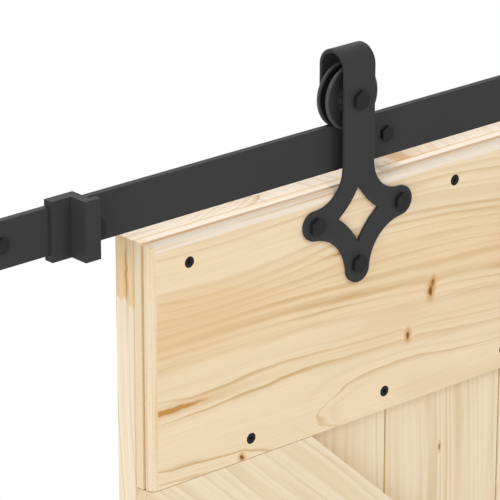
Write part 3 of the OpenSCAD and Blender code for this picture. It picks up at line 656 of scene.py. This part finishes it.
BRACE_CUT = 0.177
brace_logs = {
    "brace_upper": (1.0, {"heart": (0.06, 0.2), "taper": 0.005, "ring": 0.011, "seed": 70.0, "pale": 0.7,
                          "lines": 0.5, "knots": [(0.21, 0.02, 0.010, 0.007)]}),
    "brace_lower": (-1.0, {"heart": (0.12, -0.03), "taper": -0.03, "ring": 0.009, "seed": 76.3, "pale": 0.6,
                           "knots": [(-0.17, -0.01, 0.011, 0.007)]}),
}
for node, (sense, log) in brace_logs.items():
    low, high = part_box(node)
    panel(node, sense * math.atan2(high.z - low.z, high.x - low.x - BRACE_CUT), log)

# Wood screws
# Black countersunk screws with a cross recess, driven flush in rows along the ledges and down the braces.
# Each was stopped at its own angle.


def turned(profile, segments):
    """A mesh turned about Y from points of radius and place along Y; the first and last lie on the axis."""
    work = bmesh.new()
    ends = [work.verts.new((0.0, profile[i][1], 0.0)) for i in (0, -1)]
    rings = []
    for radius, y in profile[1:-1]:
        angles = [2 * math.pi * i / segments for i in range(segments)]
        rings.append([work.verts.new((radius * math.cos(a), y, radius * math.sin(a))) for a in angles])
    for i in range(segments):
        j = (i + 1) % segments
        work.faces.new((ends[0], rings[0][i], rings[0][j]))
        for first, second in zip(rings, rings[1:]):
            work.faces.new((first[i], second[i], second[j], first[j]))
        work.faces.new((ends[1], rings[-1][j], rings[-1][i]))
    bmesh.ops.recalc_face_normals(work, faces=work.faces)
    return work


def make_screw():
    """One wood screw with its head's face at the origin, pointing along +Y."""
    head_r, shank_r, rim, length = 0.0048, 0.002, 0.00096, 0.035
    cone, tip, chamfer, segments = head_r - shank_r, 0.004, 0.0003, 32
    screw = as_object("screw", turned(
        [(0.0, 0.0), (head_r - chamfer, 0.0), (head_r, chamfer), (head_r, rim), (shank_r, rim + cone),
         (shank_r, length - tip), (shank_r / 4, length), (0.0, length)], segments))
    slot_l, slot_w, depth, floor_share = 0.0053, 0.0012, 0.0017, 0.55
    cross = bmesh.new()
    for wide, tall in ((slot_l, slot_w), (slot_w, slot_l)):
        for vertex in bmesh.ops.create_cube(cross, size=1.0)["verts"]:
            x, y, z = vertex.co
            narrow = floor_share if y > 0 else 1.0
            vertex.co = Vector((x * wide * narrow, y * 2 * depth, z * tall * narrow))
    cutter = as_object("cross_cutter", cross)
    recess = screw.modifiers.new("recess", "BOOLEAN")
    recess.operation = "DIFFERENCE"
    recess.solver = "EXACT"
    recess.use_self = True
    recess.object = cutter
    settle(screw)
    bpy.data.objects.remove(cutter)
    return screw


def make_screw_rows():
    """Puts one screw on every point, each turned about its own axis."""
    tree = bpy.data.node_groups.new("screw rows", "GeometryNodeTree")
    inputs = {"Points": "NodeSocketGeometry", "Screw": "NodeSocketObject", "Seed": "NodeSocketInt",
              "Finish": "NodeSocketMaterial"}
    for label, kind in inputs.items():
        tree.interface.new_socket(label, in_out="INPUT", socket_type=kind)
    tree.interface.new_socket("Screws", in_out="OUTPUT", socket_type="NodeSocketGeometry")
    given = tree.nodes.new("NodeGroupInput").outputs
    shape = add(tree, "GeometryNodeObjectInfo", {"Object": given["Screw"]}).outputs["Geometry"]
    angle = add(tree, "FunctionNodeRandomValue", {"Seed": given["Seed"]}, data_type="FLOAT_VECTOR")
    angle.inputs[0].default_value = (0.0, 0.0, 0.0)
    angle.inputs[1].default_value = (0.0, math.pi, 0.0)
    turn = add(tree, "FunctionNodeEulerToRotation", {"Euler": angle.outputs[0]}).outputs[0]
    rows = add(tree, "GeometryNodeInstanceOnPoints",
               {"Points": given["Points"], "Instance": shape, "Rotation": turn}).outputs[0]
    real = add(tree, "GeometryNodeRealizeInstances", {"Geometry": rows}).outputs[0]
    dressed = add(tree, "GeometryNodeSetMaterial", {"Geometry": real, "Material": given["Finish"]}).outputs[0]
    tree.links.new(dressed, tree.nodes.new("NodeGroupOutput").inputs["Screws"])
    return tree


screw_coat = coated("screw_coat", 0.0045, 0.007, 0.5, 0.6, 0.2)
screw_nodes = [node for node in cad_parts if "_screws" in node and not node.startswith("stop")]
points = bmesh.new()
for node in screw_nodes:
    source = merged_copy(node)
    for low, high in islands(source):
        points.verts.new(((low.x + high.x) / 2, low.y, (low.z + high.z) / 2))
    source.free()
screws = as_object("wood_screws", points)
pattern = make_screw()
rows = screws.modifiers.new("rows", "NODES")
rows.node_group = make_screw_rows()
settings = {"Screw": pattern, "Seed": 4, "Finish": screw_coat}
for socket in rows.node_group.interface.items_tree:
    if socket.name in settings:
        rows[socket.identifier] = settings[socket.name]
settle(screws)
bpy.data.objects.remove(pattern)
screws.data.shade_smooth()
screws.data.set_sharp_from_angle(angle=math.radians(30))
put(screws, screw_nodes, "door", screw_coat)

# Floor guide
# A small coated steel foot, screwed to the floor.
# Its fin runs in the groove along the door's bottom edge.

finish("floor_guide", "track", coat, EDGE)

# Studio
# A pale floor under the door and a white surround.
# Soft boxes stand in front above, in front below, at the left, and behind above.

bpy.ops.mesh.primitive_plane_add(size=1.0)
floor = bpy.context.object
floor.name = "floor"
FLOOR_W, FLOOR_FRONT, FLOOR_BACK = 5.0, 2.4, 1.5
for vertex in floor.data.vertices:
    vertex.co.x *= FLOOR_W
    vertex.co.y = -FLOOR_FRONT if vertex.co.y < 0 else FLOOR_BACK
    vertex.co.z = cad_low.z
floor_paint, _, floor_surface = new_material("floor_paint")
floor_surface["Base Color"].default_value = (0.82, 0.82, 0.82, 1.0)
floor_surface["Roughness"].default_value = 0.8
floor.data.materials.append(floor_paint)
floor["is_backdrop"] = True

world = bpy.data.worlds.new("studio")
bpy.context.scene.world = world
world.use_nodes = True
air = world.node_tree
background = air.nodes["Background"]
paths = add(air, "ShaderNodeLightPath").outputs
seen = calc(air, "MAXIMUM", paths["Is Camera Ray"], paths["Is Glossy Ray"])
seen = calc(air, "MAXIMUM", seen, paths["Is Transmission Ray"])
SKY_LIGHT = 0.66
air.links.new(ramp(air, seen, 0.0, 1.0, SKY_LIGHT, 1.0), background.inputs["Strength"])
background.inputs["Color"].default_value = (1.0, 1.0, 1.0, 1.0)


def stand(name, thing, place, look):
    """An object in the scene that holds a lamp or a camera and looks along a direction."""
    made = bpy.data.objects.new(name, thing)
    bpy.context.scene.collection.objects.link(made)
    made.location = place
    made.rotation_mode = "QUATERNION"
    made.rotation_quaternion = look.to_track_quat("-Z", "Y")
    return made


HANGER = Vector((-0.447, -0.05, -0.05))
for name, place, size, power in (
    ("front_above", (0.2, -2.5, 1.7), 1.0, 20.0),
    ("front_low", (-1.5, -2.6, -0.8), 2.0, 8.0),
    ("left", (-3.4, -1.0, 0.6), 1.6, 35.0),
    ("back_above", (-0.4, 1.5, 1.9), 1.6, 46.0),
):
    lamp = bpy.data.lights.new(name, "AREA")
    lamp.size = size
    lamp.energy = power
    stand(name, lamp, place, HANGER - Vector(place))

# Camera
# It looks down at the hanger from the front left, with a long lens.

camera = bpy.data.cameras.new("camera")
CAMERA_PLACE = Vector((-2.2970, -2.0340, 0.9428))
CAMERA_TURN, CAMERA_DIP = math.radians(41.088), math.radians(20.895)
camera.lens = 248.2
camera.sensor_width = 36.0
camera.clip_start, camera.clip_end = 0.1, 100.0
level = math.cos(CAMERA_DIP)
look = Vector((math.sin(CAMERA_TURN) * level, math.cos(CAMERA_TURN) * level, -math.sin(CAMERA_DIP)))
bpy.context.scene.camera = stand("camera", camera, CAMERA_PLACE, look)

bpy.context.scene.view_settings.view_transform = "Standard"

# Size of the finished object
low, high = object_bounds()
